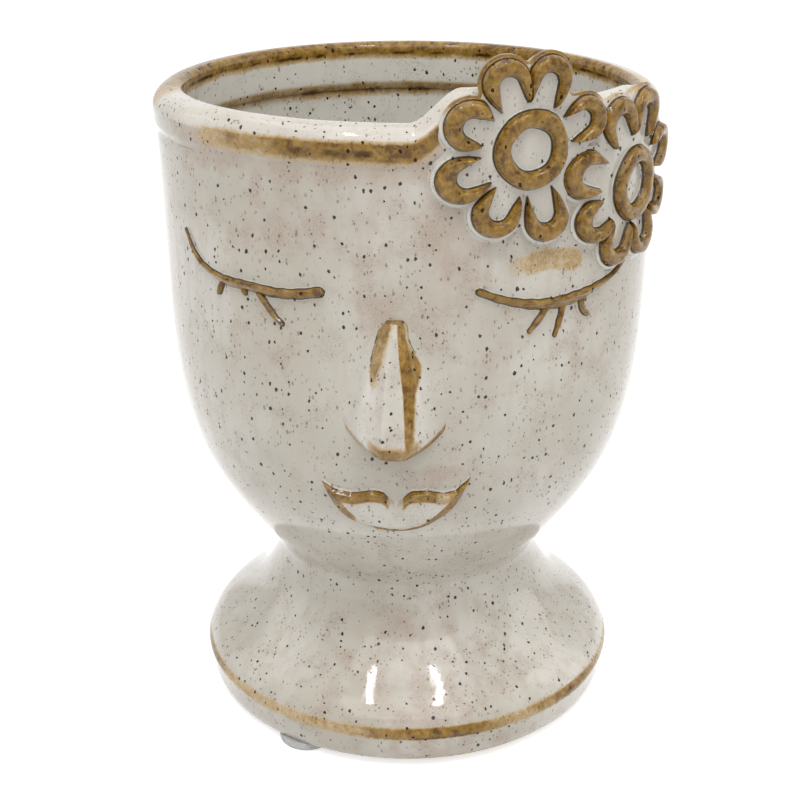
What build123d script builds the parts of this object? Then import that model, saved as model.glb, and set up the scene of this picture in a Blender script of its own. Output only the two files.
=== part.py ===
from build123d import *
from math import cos, degrees, pi, radians, sin
import os

# Head planter in glazed stoneware, millimetres, +Z up
# The origin is on the pedestal's axis at the level that the pads stand on
# The face looks along -Y, and left and right are the viewer's

# Driving sizes of the head
rim_half_width = 54.7
rim_height = 144.6
neck_radius = 31.2
neck_height = 36.0
wall = 4.8
floor_thickness = 8.0
floor_corner = 4.5
lip_radius = 3.2
lip_inner_radius = 1.4
lip_steps = 4
collar_depth = 11.5
collar_thickness = 1.6

# Seen from above the head is an egg: a flatter half ellipse in front and a nearly round one behind
face_flat_share = 0.157
skull_flat_share = 0.02
flat_from_share = 0.13
flat_to_share = 0.82

# Head outline: share of the height from neck to rim, share of the width from neck to rim
head_shares = (
    (0.0, 0.0),
    (0.022, 0.02),
    (0.055, 0.128),
    (0.092, 0.255),
    (0.147, 0.438),
    (0.221, 0.643),
    (0.313, 0.804),
    (0.424, 0.902),
    (0.562, 0.949),
    (0.700, 0.966),
    (0.838, 0.983),
    (1.0, 1.0),
)

# Driving sizes of the pedestal
foot_radius = 48.1
shoulder_radius = 49.4
shoulder_height = 7.6
shoulder_round = 1.5
foot_ring_width = 8.0
foot_edge_round = 0.8
flare_wall = 6.2

# Pedestal flare above the shoulder: share of the height from shoulder to neck, share of the radius
flare_shares = (
    (0.17, 0.857),
    (0.32, 0.588),
    (0.47, 0.341),
    (0.66, 0.148),
    (0.85, 0.03),
)

# Pads under the foot
pad_radius = 6.5
pad_thickness = 2.0
pad_edge_round = 0.7
pad_inset = 5.8
pad_count = 3
first_pad_angle = -30.0

# Drain hole and its plug
drain_radius = 6.0
plug_clearance = 0.3
seat_clearance = 0.3
plug_flange_radius = 9.5
plug_flange_thickness = 1.8
plug_edge_round = 0.6
plug_taper = 0.6
plug_tab_width = 7.0
plug_tab_thickness = 2.4
plug_tab_height = 9.0
plug_tab_hole = 1.6

# Daisies: each a scalloped plate, a ring and up to eight petal loops
petal_tip_radius = 4.5
petal_slot_radius = 2.2
petal_tip_band = 3.2
petal_leg_width = 2.1
petal_root_gap = 0.9
daisy_ring_radius = 7.9
daisy_ring_hole = 4.3
daisy_plate_border = 0.8
daisy_plate_rise = 0.8
petal_rise = 1.6
ring_rise = 2.0
front_daisy_radius = 18.6
front_daisy_angle = 31.2
front_daisy_drop = 4.7
side_daisy_radius = 18.6
side_daisy_drop = 9.7
daisy_overlap = 8.2

# Angles of the petals about each daisy's middle, where the front one leaves room for the side one
front_daisy_turns = (21, 73, 112, 157, 202, 244, 288)
side_daisy_turns = (22, 76, 115, 165, 210, 251, 292, 333)

# Eyes: a drooping tapered line and its lashes, drawn on a plane that faces each eye
eye_angle = 40.0
eye_line_width = 1.9
eye_rise = 1.3
lash_width = 1.5
lash_rise = 1.0
left_eye_rise = 2.2
left_eye_inner = 18.0
left_eye_outer = 17.4
left_eye_inner_lift = 1.6
left_eye_outer_lift = 8.8
right_eye_drop = 22.3
right_eye_inner = 16.4
right_eye_outer = 20.6
right_eye_inner_lift = 4.2
right_eye_outer_lift = 5.6
lash_length = 7.0
eye_curl = 2.2
eye_tip_share = 0.16
eye_taper_share = 0.9
lash_tip_share = 0.55

# Places along an eye line, from its outer tip at -1 to its nose end at 1
eye_place_shares = (-1.0, -0.75, -0.5, -0.25, 0.0, 0.35, 0.7, 1.0)

# Lashes: root and tip as shares of the way to the nose end, length as a share of the longest
left_lash_shares = ((0.20, 0.54, 0.92), (0.01, 0.01, 0.34), (-0.22, -0.36, 0.50))
right_lash_shares = ((0.14, 0.38, 0.88), (-0.08, 0.02, 1.10), (-0.38, -0.53, 0.70))

# Nose: a wedge from the bridge to a rounded tip
nose_height = 28.9
nose_bottom_share = 0.383
nose_wing_half_width = 10.2
nose_reach = 8.0
nose_ridge_half_width = 1.3
nose_root_depth = 0.9

# Nose outline down from the bridge: shares of its height, half width, reach and ridge
nose_shares = (
    (0.0, 0.20, 0.04, 1.0),
    (0.12, 0.30, 0.26, 1.0),
    (0.30, 0.40, 0.46, 1.1),
    (0.47, 0.50, 0.64, 1.4),
    (0.62, 0.78, 0.82, 2.0),
    (0.74, 1.0, 0.96, 2.6),
    (0.84, 0.90, 0.98, 2.6),
    (0.93, 0.62, 0.56, 1.9),
    (1.0, 0.26, 0.06, 1.2),
)

# Mouth: a crescent with two wings and a dip between them
mouth_half_width = 15.2
mouth_height = 12.5
mouth_bottom_share = 0.211
mouth_rise = 2.0

# Mouth outline on one side, from the bottom to the dip: shares of the half width and the height
mouth_bottom_shares = ((0.0, 0.0), (0.36, 0.10), (0.66, 0.34), (0.86, 0.66))
mouth_top_shares = ((0.80, 0.84), (0.55, 0.85), (0.28, 0.88), (0.14, 0.78), (0.0, 0.54))

# How far every cut and every sketch runs past what it meets
overrun = 5.0

# Heights that follow from the sizes above
base_height = pad_thickness
shoulder_top = base_height + shoulder_height
floor_top = neck_height + floor_thickness
collar_bottom = rim_height - collar_depth
head_height = rim_height - neck_height

# The daisies hang from the rim, the eyes from the side daisy, and the daisies overlap by as much as is said
front_daisy_height = rim_height - front_daisy_drop
side_daisy_height = front_daisy_height - side_daisy_drop
daisy_spacing = front_daisy_radius + side_daisy_radius - daisy_overlap
side_daisy_angle = front_daisy_angle + degrees(daisy_spacing / rim_half_width)
right_eye_height = side_daisy_height - right_eye_drop
left_eye_height = right_eye_height + left_eye_rise
nose_bottom = neck_height + nose_bottom_share * head_height
nose_top = nose_bottom + nose_height
mouth_bottom = neck_height + mouth_bottom_share * head_height

# Top of the solid heads that the trim above the rim is cut from
daisy_top = max(front_daisy_height + front_daisy_radius, side_daisy_height + side_daisy_radius)
crest = max(daisy_top + daisy_plate_border, rim_height) + overrun
heads = {}


def blend(share):
    """Smooth step from 0 where the face starts to flatten to 1 where it is flat"""
    step = (share - flat_from_share) / (flat_to_share - flat_from_share)
    step = min(max(step, 0), 1)
    return step * step * (3 - 2 * step)


def share_at(height):
    """Share of the way from the neck to the rim at a real height"""
    return (height - neck_height) / head_height


def radius_at(height):
    """Half width of the head at a height, on straight lines between the outline's points"""
    share = share_at(height)
    spread = rim_half_width - neck_radius
    for (low, low_width), (high, high_width) in zip(head_shares, head_shares[1:]):
        if share <= high:
            width = low_width + (high_width - low_width) * (share - low) / (high - low)
            return neck_radius + spread * width
    return rim_half_width


def face_depth(height):
    """How far the middle of the face lies in front of the axis at a height"""
    return radius_at(height) * (1 - face_flat_share * blend(share_at(height)))


def skull_depth(height):
    """How far the back of the head lies behind the axis at a height"""
    return radius_at(height) * (1 - skull_flat_share * blend(share_at(height)))


def head_section(height, grow):
    """Outline of the head at a height, pushed out by grow: half an ellipse each for face and skull"""
    half = radius_at(height) + grow
    face = EllipticalCenterArc((0, 0), half, face_depth(height) + grow, 180, arc_size=180)
    skull = EllipticalCenterArc((0, 0), half, skull_depth(height) + grow, 0, arc_size=180)
    return Plane.XY.offset(height) * make_face(face + skull)


def head_between(bottom, top, grow):
    """Solid head between two heights, pushed out by grow"""
    marks = [neck_height + share * head_height for share, _ in head_shares]
    marks = sorted(marks + [rim_height - lip_radius])
    heights = [bottom] + [mark for mark in marks if bottom < mark < top] + [top]
    return loft([head_section(height, grow) for height in heights])


def whole_head(grow):
    """Solid head from the neck to above the rim, pushed out by grow, made once for each grow"""
    if grow not in heads:
        heads[grow] = head_between(neck_height, crest, grow)
    return heads[grow]


def quarter_round(top, radius, grow, side):
    """Solid slice of the head whose edge rolls over a quarter round, inward or outward"""
    turns = [step * pi / 2 / lip_steps for step in range(lip_steps + 1)]
    return loft([
        head_section(top - radius + radius * sin(turn), grow + side * radius * (1 - cos(turn)))
        for turn in turns
    ])


def make_cavity():
    """The planting space: a rounded bottom, the wall, and the thicker collar under the rim"""
    collar_grow = -wall - collar_thickness
    corner_top = floor_top + floor_corner
    bottom = loft([head_section(floor_top, -wall - floor_corner), head_section(corner_top, -wall)])
    sides = head_between(corner_top, collar_bottom, -wall)
    step = loft([
        head_section(collar_bottom, -wall),
        head_section(collar_bottom + collar_thickness, collar_grow),
    ])
    throat = head_between(collar_bottom + collar_thickness, rim_height - lip_inner_radius, collar_grow)
    lip = quarter_round(rim_height, lip_inner_radius, collar_grow, 1)
    mouth = head_between(rim_height, crest, collar_grow + lip_inner_radius)
    return bottom + sides + step + throat + lip + mouth


def make_head_bowl():
    """Hollow head with a rolled rim and the drain hole through its floor"""
    below_lip = Plane.XY.offset(rim_height - lip_radius)
    body = split(whole_head(0), bisect_by=below_lip, keep=Keep.BOTTOM)
    body += quarter_round(rim_height, lip_radius, 0, -1)
    drain = Pos(0, 0, neck_height) * Cylinder(
        drain_radius, floor_thickness + overrun, align=(Align.CENTER, Align.CENTER, Align.MIN)
    )
    return body - make_cavity() - drain


def make_pedestal():
    """Hollow flared foot that carries the head at its neck"""
    flare_height = neck_height - shoulder_top
    spread = shoulder_radius - neck_radius
    outside = [
        (neck_radius + spread * width, shoulder_top + flare_height * rise) for rise, width in flare_shares
    ]
    inside = [(radius - flare_wall, height) for radius, height in reversed(outside)]
    ring_inside = foot_radius - foot_ring_width
    neck_inside = neck_radius - wall
    profile = Polyline(
        (ring_inside, base_height),
        (foot_radius, base_height),
        (shoulder_radius, shoulder_top),
    )
    profile += Spline([(shoulder_radius, shoulder_top)] + outside + [(neck_radius, neck_height)])
    profile += Line((neck_radius, neck_height), (neck_inside, neck_height))
    profile += Spline([(neck_inside, neck_height)] + inside + [(ring_inside, base_height)])
    pedestal = revolve(Plane.XZ * make_face(profile), Axis.Z)
    rings = pedestal.edges().filter_by(GeomType.CIRCLE)
    shoulder = [ring for ring in rings if abs(ring.center().Z - shoulder_top) < shoulder_round]
    pedestal = fillet(shoulder, shoulder_round)
    rings = pedestal.edges().filter_by(GeomType.CIRCLE)
    return fillet(rings.sort_by(Axis.Z)[:2], foot_edge_round)


def make_pad():
    """One round stick-on pad, centred under the foot ring"""
    pad = Cylinder(pad_radius, pad_thickness, align=(Align.CENTER, Align.CENTER, Align.MIN))
    return fillet(pad.edges().group_by(Axis.Z)[0], pad_edge_round)


def make_plug():
    """Soft plug with a flange on the bowl's floor and a tab to pull it out by"""
    seat = floor_top + seat_clearance
    stem = Pos(0, 0, neck_height) * Cone(
        drain_radius - plug_clearance - plug_taper,
        drain_radius - plug_clearance,
        seat - neck_height,
        align=(Align.CENTER, Align.CENTER, Align.MIN),
    )
    flange = Pos(0, 0, seat) * Cylinder(
        plug_flange_radius, plug_flange_thickness, align=(Align.CENTER, Align.CENTER, Align.MIN)
    )
    flange = fillet(flange.edges().group_by(Axis.Z)[-1], plug_edge_round)
    tab_bottom = seat + plug_flange_thickness / 2
    tab_straight = plug_tab_height - plug_tab_width / 2
    tab_face = Pos(0, tab_straight / 2) * Rectangle(plug_tab_width, tab_straight)
    tab_face += Pos(0, tab_straight) * Circle(plug_tab_width / 2)
    tab_face -= Pos(0, tab_straight) * Circle(plug_tab_hole)
    tab_plane = Plane(origin=(0, 0, tab_bottom), x_dir=(1, 0, 0), z_dir=(0, -1, 0))
    return stem + flange + extrude(tab_plane * tab_face, plug_tab_thickness / 2, both=True)


def head_plane(angle, height):
    """Plane that faces outward from the axis at an angle from the face, with its y up"""
    turn = radians(angle)
    return Plane(
        origin=(0, 0, height),
        x_dir=(cos(turn), sin(turn), 0),
        z_dir=(sin(turn), -cos(turn), 0),
    )


def run_through(sketch, plane):
    """The sketch run outward from the axis, through the wall and past it"""
    return extrude(plane * sketch, rim_half_width + overrun)


def raised(sketch, plane, low, high):
    """A piece with the sketch's outline that stands from low to high above the head's surface"""
    return (run_through(sketch, plane) & whole_head(high)) - whole_head(low)


def petal_outline(radius):
    """Horseshoe that opens towards the ring, with pointed legs, along the sketch's x"""
    tip = radius - petal_tip_radius
    slot = radius - petal_tip_band - petal_slot_radius
    root = daisy_ring_radius + petal_root_gap
    outline = Line((root, -petal_leg_width), (tip, -petal_tip_radius))
    outline += ThreePointArc((tip, -petal_tip_radius), (radius, 0), (tip, petal_tip_radius))
    outline += Line((tip, petal_tip_radius), (root, petal_leg_width))
    outline += Line((root, petal_leg_width), (slot, petal_slot_radius))
    outline += ThreePointArc(
        (slot, petal_slot_radius), (slot + petal_slot_radius, 0), (slot, -petal_slot_radius)
    )
    outline += Line((slot, -petal_slot_radius), (root, -petal_leg_width))
    return make_face(outline)


def petals_outline(radius, turns):
    """All petals of a daisy in one sketch"""
    return Sketch() + [Rot(0, 0, turn) * petal_outline(radius) for turn in turns]


def plate_outline(radius, turns):
    """Scalloped plate that shows as a border round all the petals"""
    tip = radius - petal_tip_radius
    plate = Circle(tip)
    for turn in turns:
        plate += Rot(0, 0, turn) * Pos(tip, 0) * Circle(petal_tip_radius + daisy_plate_border)
    return plate


def make_plate(outline, plane, bowl):
    """Plate that lies on the head below the rim and stands up as thick as the wall above it"""
    lip_plane = Plane.XY.offset(rim_height - lip_radius)
    standing = raised(outline, plane, -wall, daisy_plate_rise)
    standing = split(standing, bisect_by=lip_plane, keep=Keep.TOP)
    plate = raised(outline, plane, 0, daisy_plate_rise) + standing - bowl
    return plate.solids().sort_by(SortBy.VOLUME)[-1]


def make_daisy(name, radius, plane, turns, bowl):
    """Plate, ring and petal loops of one daisy, as a dictionary of nodes"""
    low = daisy_plate_rise
    pieces = {name + "_plate": make_plate(plate_outline(radius, turns), plane, bowl)}
    ring = Circle(daisy_ring_radius) - Circle(daisy_ring_hole)
    pieces[name + "_ring"] = raised(ring, plane, low, low + ring_rise)
    for number, turn in enumerate(turns, 1):
        petal = raised(Rot(0, 0, turn) * petal_outline(radius), plane, low, low + petal_rise)
        pieces[name + "_petal_" + str(number)] = petal
    return pieces


def eye_line_outline(to_nose, inner, outer, inner_lift, outer_lift):
    """Drooping line, thick at the nose end and pointed at the outer end"""
    upper = []
    lower = []
    for share in eye_place_shares:
        length = inner if share > 0 else outer
        lift = inner_lift if share > 0 else outer_lift
        x = to_nose * share * length
        y = lift * abs(share) ** eye_curl
        half = eye_line_width / 2 * min(1, eye_tip_share + (1 + share) * eye_taper_share)
        upper.append((x, y + half))
        lower.append((x, y - half))
    outline = Spline(upper) + Line(upper[-1], lower[-1]) + Spline(lower) + Line(upper[0], lower[0])
    return make_face(outline)


def lash_outline(to_nose, inner, root_share, tip_share, length_share):
    """One lash that hangs from the eye line and narrows to a round tip"""
    root = Vector(to_nose * root_share * inner, 0)
    tip = Vector(to_nose * tip_share * inner, -length_share * lash_length)
    across = (tip - root).rotate(Axis.Z, 90).normalized()
    wide = across * (lash_width / 2)
    thin = across * (lash_width * lash_tip_share / 2)
    beyond = tip + (tip - root).normalized() * (lash_width * lash_tip_share / 2)
    outline = Polyline(tip + thin, root + wide, root - wide, tip - thin)
    outline += ThreePointArc(tip - thin, beyond, tip + thin)
    return make_face(outline)


def make_eye(name, angle, height, to_nose, inner, outer, inner_lift, outer_lift, lashes):
    """Eye line and lashes of one eye, as a dictionary of nodes"""
    plane = head_plane(angle, height)
    line_face = eye_line_outline(to_nose, inner, outer, inner_lift, outer_lift)
    line = raised(line_face, plane, 0, eye_rise)
    pieces = {name + "_eye_line": line}
    for number, (root_share, tip_share, length_share) in enumerate(lashes, 1):
        lash_face = lash_outline(to_nose, inner, root_share, tip_share, length_share)
        lash = raised(lash_face, plane, 0, lash_rise) - line
        pieces[name + "_lash_" + str(number)] = lash.solids().sort_by(SortBy.VOLUME)[-1]
    return pieces


def make_nose():
    """Wedge that widens from the bridge to the wings and stands out most at the tip"""
    sections = []
    for drop, width, reach, ridge in nose_shares:
        height = nose_top - drop * nose_height
        half = nose_wing_half_width * width
        ridge_half = nose_ridge_half_width * ridge
        root = -face_depth(height) + nose_root_depth
        front = -face_depth(height) - nose_reach * reach
        outline = Polyline(
            (-half, root + overrun),
            (-half, root),
            (-ridge_half, front),
            (ridge_half, front),
            (half, root),
            (half, root + overrun),
            close=True,
        )
        sections.append(Plane.XY.offset(height) * make_face(outline))
    nose = loft(sections) - whole_head(0)
    return nose.solids().sort_by(SortBy.VOLUME)[-1]


def mouth_points(shares, side):
    """Points of the mouth's outline on one side of the face"""
    return [(side * across * mouth_half_width, up * mouth_height) for across, up in shares]


def make_mouth():
    """Crescent with two wings on top and a dip between them"""
    corner = ((1.0, 1.0),)
    lower = mouth_points(corner + tuple(reversed(mouth_bottom_shares)), -1)
    lower += mouth_points(mouth_bottom_shares[1:] + corner, 1)
    outline = Spline(lower)
    outline += Spline(mouth_points(corner + mouth_top_shares, 1))
    outline += Spline(mouth_points(corner + mouth_top_shares, -1))
    return raised(make_face(outline), head_plane(0, mouth_bottom), 0, mouth_rise)


def make_parts():
    """All nodes by name"""
    parts = {}
    bowl = make_head_bowl()
    parts["head_bowl"] = bowl
    parts["pedestal"] = make_pedestal()
    parts["nose"] = make_nose()
    parts["mouth"] = make_mouth()
    parts.update(make_eye(
        "left", -eye_angle, left_eye_height, 1,
        left_eye_inner, left_eye_outer, left_eye_inner_lift, left_eye_outer_lift, left_lash_shares,
    ))
    parts.update(make_eye(
        "right", eye_angle, right_eye_height, -1,
        right_eye_inner, right_eye_outer, right_eye_inner_lift, right_eye_outer_lift, right_lash_shares,
    ))
    front_plane = head_plane(front_daisy_angle, front_daisy_height)
    side_plane = head_plane(side_daisy_angle, side_daisy_height)
    parts.update(make_daisy("front_daisy", front_daisy_radius, front_plane, front_daisy_turns, bowl))
    parts.update(make_daisy("side_daisy", side_daisy_radius, side_plane, side_daisy_turns, bowl))
    front_petals = run_through(petals_outline(front_daisy_radius, front_daisy_turns), front_plane)
    for number in range(1, len(side_daisy_turns) + 1):
        parts["side_daisy_petal_" + str(number)] -= front_petals
    front_plate = run_through(plate_outline(front_daisy_radius, front_daisy_turns), front_plane)
    side_plate = run_through(plate_outline(side_daisy_radius, side_daisy_turns), side_plane)
    parts["side_daisy_plate"] -= front_plate
    parts["right_eye_line"] -= side_plate
    parts["right_eye_line"] -= front_plate
    parts["drain_plug"] = make_plug()
    for number in range(pad_count):
        turn = first_pad_angle + number * 360 / pad_count
        place = Rot(0, 0, turn) * Pos(0, -(foot_radius - pad_inset), 0)
        parts["foot_pad_" + str(number + 1)] = place * make_pad()
    return parts


def main():
    os.makedirs("parts", exist_ok=True)
    for name, piece in make_parts().items():
        export_step(piece, "parts/" + name + ".step")
        print(name, len(piece.solids()), round(piece.volume, 1))


main()
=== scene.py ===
from math import cos, pi, radians, sin

import bmesh
import bpy
import numpy as np
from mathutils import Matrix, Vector


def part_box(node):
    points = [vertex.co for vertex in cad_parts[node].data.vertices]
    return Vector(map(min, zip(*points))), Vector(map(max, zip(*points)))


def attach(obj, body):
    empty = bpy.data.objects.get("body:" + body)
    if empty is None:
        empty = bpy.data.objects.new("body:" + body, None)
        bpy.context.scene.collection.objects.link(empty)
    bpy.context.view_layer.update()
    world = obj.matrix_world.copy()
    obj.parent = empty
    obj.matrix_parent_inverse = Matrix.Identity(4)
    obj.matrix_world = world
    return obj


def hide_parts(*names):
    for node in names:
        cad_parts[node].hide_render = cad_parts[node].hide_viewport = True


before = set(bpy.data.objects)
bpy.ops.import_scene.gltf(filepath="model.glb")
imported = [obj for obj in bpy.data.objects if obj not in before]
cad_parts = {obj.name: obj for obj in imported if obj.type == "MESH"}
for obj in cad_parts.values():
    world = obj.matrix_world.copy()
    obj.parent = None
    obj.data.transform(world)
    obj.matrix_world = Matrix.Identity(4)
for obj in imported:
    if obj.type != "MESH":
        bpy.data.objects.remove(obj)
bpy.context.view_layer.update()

# Millimetres are used for every shape, and the last step to a mesh turns them into metres
MM = 0.001
SHARP_ANGLE = radians(55)


def box_mm(node):
    """Lowest and highest corner of a node in millimetres"""
    low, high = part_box(node)
    return np.array(low) / MM, np.array(high) / MM


# Heights read from the frame
RIM_Z = box_mm("head_bowl")[1][2]
NECK_Z = box_mm("head_bowl")[0][2]
BASE_Z = box_mm("pedestal")[0][2]
HEAD_HEIGHT = RIM_Z - NECK_Z

# Head outline, as in the CAD source
RIM_HALF_WIDTH = 54.7
NECK_RADIUS = 31.2
HEAD_SHARES = (
    (0.0, 0.0), (0.022, 0.02), (0.055, 0.128), (0.092, 0.255), (0.147, 0.438), (0.221, 0.643),
    (0.313, 0.804), (0.424, 0.902), (0.562, 0.949), (0.700, 0.966), (0.838, 0.983), (1.0, 1.0),
)
FACE_FLAT_SHARE = 0.157
SKULL_FLAT_SHARE = 0.02
FLAT_FROM_SHARE = 0.13
FLAT_TO_SHARE = 0.82

# Pedestal outline, as in the CAD source
FOOT_RADIUS = 48.1
SHOULDER_RADIUS = 49.4
SHOULDER_TOP = BASE_Z + 7.6
FLARE_SHARES = ((0.17, 0.857), (0.32, 0.588), (0.47, 0.341), (0.66, 0.148), (0.85, 0.03))
FOOT_RING_WIDTH = 8.0
FLARE_WALL = 6.2

# Rows of the pedestal's edges: how far in and up from the shoulder or foot, then how brown and how dark
SHOULDER_ROWS = ((0.0, -0.1, 1.0, 0.2), (0.04, -0.6, 1.0, 0.4), (0.16, -1.1, 0.8, 0.5), (0.3, -1.7, 0.1, 0.1))
FOOT_ROWS = ((0.0, 1.1, 0.25, 0.0), (0.2, 0.5, 0.7, 0.2), (0.6, 0.12, 0.9, 0.2), (1.2, 0.0, 0.8, 0.0))
FOOT_BAND_HEIGHTS = (7.2, 6.4, 5.5, 4.6, 3.8)
FOOT_BAND_LEAN = 0.16

# Heights at which the half width and the depths of the bare head and pedestal are tabled
HEIGHTS = np.arange(SHOULDER_TOP, RIM_Z + 40, 0.25)

# Wall, rim and floor of the bowl
WALL = 4.8
COLLAR = 1.6
COLLAR_DEPTH = 11.5
LEDGE_HIGH = 2.6
FLOOR_TOP = NECK_Z + 8.0
FLOOR_CORNER = 4.5
DRAIN_RADIUS = 6.0
DRAIN_ROUND = 0.6
LIP_WIDE = 3.6
LIP_HIGH = 3.9
LIP_INNER = 1.5
TOP_CROWN = 0.05
ABOVE_RIM = (RIM_Z + 1, RIM_Z + 5)

# What each row of the bowl belongs to, from the outside over the rim to the underside
OUTSIDE, LIP, TOP, ROLL, COLLAR_FACE, LEDGE, INSIDE, FLOOR, UNDER = range(9)

# Rim's sweep up behind the daisies, in degrees round the axis: where it starts, is full, ebbs and ends
SWEEP_RISE = 6.6
SWEEP_SPAN = (3.0, 17.5, 68.0, 82.0)
SWEEP_SAG = 0.55
SWEEP_SAG_SPAN = (34, 50)
SWEEP_DEPTH = 12

# Relief of the head: slow unevenness, lids, groove over the mouth, and the rim's band with its crease
UNEVEN_RISE = 0.16
UNEVEN_SIZE = 42.0
UNEVEN_FADE = 8
LID_PEAK = 0.42
LID_SPREAD = 0.62
LID_EDGE = (-0.6, 0.5)
GROOVE_DEPTH = 0.42
GROOVE_HALF = 0.9
GROOVE = ((-9.4, 75.6), (-5.1, 73.9), (-1.6, 72.3), (0.2, 71.7), (2.4, 72.8), (7.0, 75.3))
BAND_RISE = 0.5
BAND_SPAN = (-96, -78, 5, 16)
BAND_EDGE = (RIM_Z - 8.2, RIM_Z - 6.4)
CREASE_DEPTH = 0.22
CREASE_HALF = 0.9
CREASE_Z = RIM_Z - 8.6

# Paint on the bowl: spans in degrees round the axis, distances in millimetres
PAINT_SPAN = (-62, -42, 13, 20)
PAINT_FULL_SPAN = (-44, -26)
PAINT_FAINT = 0.72
PAINT_DROP = 4.2
PAINT_EDGES = (-4.4, -1.2, 0.8, 2.5)
BACK_SPAN = (66, 84)
CORNER_SPAN = (-112, -98, -78, -66)
CORE_SPAN = (-36, -22, 2, 12)
CREASE_SPAN = (-96, -86, -58, -46)
WARM_SPAN = (-70, -50, 14, 26)
PALE_RIM = (116, 26)
RIGHT_END = (92, 12)
LEDGE_LEFT = (-150, -120)
LEDGE_RIGHT = (165, 178)
LEDGE_BACK = (60, 90)
SMEAR = ((-8.5, 116.0), (-2.0, 117.4), (4.0, 116.3))
SMEAR_STRENGTH = 0.62
SMEAR_EDGE = (1.6, 3.0)
SMEAR_FADE = (-9, -4)

# Warm places of the glaze on the head: turn, height, width in degrees, tallness and strength
BLUSHES = (
    (14, 122, 12, 14, 1.0), (-4, 108, 9, 10, 0.7), (-34, 98, 9, 7, 0.6), (24, 98, 6, 9, 0.6),
    (10, 74, 7, 3, 0.9), (-16, 124, 34, 11, 0.6), (48, 96, 12, 14, 0.4), (4, 102, 16, 9, 0.5),
)

# Daisies: middle on the head, each petal's turn, reach and half width, and how far each daisy is lifted
FRONT_DAISY = (31.2, RIM_Z - 4.7)
SIDE_DAISY = (61.58, RIM_Z - 14.4)
FRONT_PETALS = (
    (21.7, 17.9, 4.6), (73.3, 18.5, 4.4), (109.0, 18.4, 4.6), (155.0, 17.1, 5.0),
    (202.5, 18.1, 4.7), (244.5, 18.3, 4.7), (287.5, 19.2, 4.6),
)
SIDE_PETALS = (
    (21.0, 17.8, 4.8), (76.0, 18.6, 4.5), (112.0, 18.4, 4.5), (166.0, 17.9, 5.0),
    (214.0, 16.6, 4.7), (252.0, 18.1, 4.5), (293.0, 18.4, 4.4), (333.0, 18.0, 4.4),
)
FRONT_LIFT = 0.35
SIDE_LIFT = 0.0
PETAL_SLOT_RADIUS = 2.0
PETAL_TIP_BAND = 3.5
PETAL_ROOT = 8.6
PETAL_ROOT_HALF = 2.6
PETAL_BOW = 0.35
PETAL_RISE = 1.9
PETAL_DOME = 0.62
PETAL_WRAP = 0.9
PETAL_UNEVEN = 0.07
PETAL_LEAST_GAP = 0.25
PETAL_THINNEST = 0.03
PLATE_CORE = 13.6
PLATE_BORDER = 0.55
PLATE_RISE = 0.8
PLATE_ROUND = 0.8
SKIRT = 1.1
RING_RADIUS = 7.8
RING_HOLE = 4.3
RING_RISE = 1.9
RING_DOME = 0.55

# Each ring: how far it sits off its daisy's middle, sideways and up, and its width as a share of its height
FRONT_RING = (0.75, 0.0, 0.96)
SIDE_RING = (1.3, -1.1, 0.84)

# Eyes: points of each line from its outer tip to its nose end, seen square-on at the eye's angle
EYE_ANGLE = 40.0
LEFT_LINE = (
    (-17.3, 118.9), (-15.0, 115.6), (-12.4, 113.2), (-8.4, 111.4), (-5.0, 110.6),
    (1.1, 110.4), (8.9, 110.1), (13.6, 110.6), (17.9, 111.6),
)
RIGHT_LINE = (
    (19.8, 112.9), (16.4, 110.9), (12.4, 109.6), (7.3, 108.5), (2.0, 107.9),
    (-3.5, 108.0), (-9.6, 109.3), (-13.2, 110.6), (-16.3, 112.2),
)
LEFT_LASHES = (
    ((3.6, 109.6), (5.2, 107.9), (7.5, 105.4), (10.0, 103.4)),
    ((0.0, 110.1), (0.5, 108.9), (1.0, 108.2)),
    ((-5.2, 110.3), (-6.2, 108.4), (-6.6, 106.9)),
)
RIGHT_LASHES = (
    ((-1.6, 107.7), (-3.0, 105.6), (-4.6, 103.8), (-6.2, 102.2)),
    ((2.2, 107.7), (1.6, 105.2), (0.7, 102.6), (-0.2, 100.4)),
    ((7.0, 108.0), (6.8, 106.0), (7.6, 104.4), (9.0, 103.5)),
)

# Half width of each eye line and lash, and the shares of it at its first and last end
LEFT_EYE = (1.08, 0.22, 0.95)
RIGHT_EYE = (1.404, 0.2, 0.5)
LASH = (0.72, 1.0, 0.7)
BLUNT_LASH = (0.72, 1.0, 0.95)
EYE_RISE = 1.0
LASH_RISE = 0.9

# Each lid: middle, rise, half reach and height
LEFT_LID = (2.0, 0.85, 15.0, 10.0)
RIGHT_LID = (-2.0, 1.15, 14.0, 10.5)

# Raised lines: how they swell and ebb along their length, and how uneven and how dark they are
STROKE_SWELL = (0, 0.45)
STROKE_EBB = (0.4, 1)
STROKE_SPARE = 0.05
STROKE_UNEVEN = 0.06
STROKE_WAVES = 1.9
STROKE_SHADE = 0.34
THINNEST = 0.02

# Cross-section of a raised bead: sideways place as a share of the half width, and as a length past the edge
BEAD_SIDE = [(1, past) for past in (0.75, 0.5, 0.32, 0.17, 0.05)]
BEAD_SIDE += [(share, 0) for share in (0.97, 0.9, 0.8, 0.65, 0.45, 0.22)]
BEAD_SECTION = np.array(BEAD_SIDE + [(0, 0)] + [(-share, -past) for share, past in reversed(BEAD_SIDE)])
BEAD_DEPTH = 0.8
EDGE_IN = 0.62
EDGE_OUT = 0.34
EDGE_END = 0.75
EDGE_TUCK = 0.1
CROWN_SPARE = 0.25
BEAD_BROWN_EDGE = (-0.12, 0.1)
BEAD_LINE = (0.04, 0.14)
BEAD_POOL = 0.7
BEAD_POOL_EDGE = (0.1, 0.35)

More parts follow.
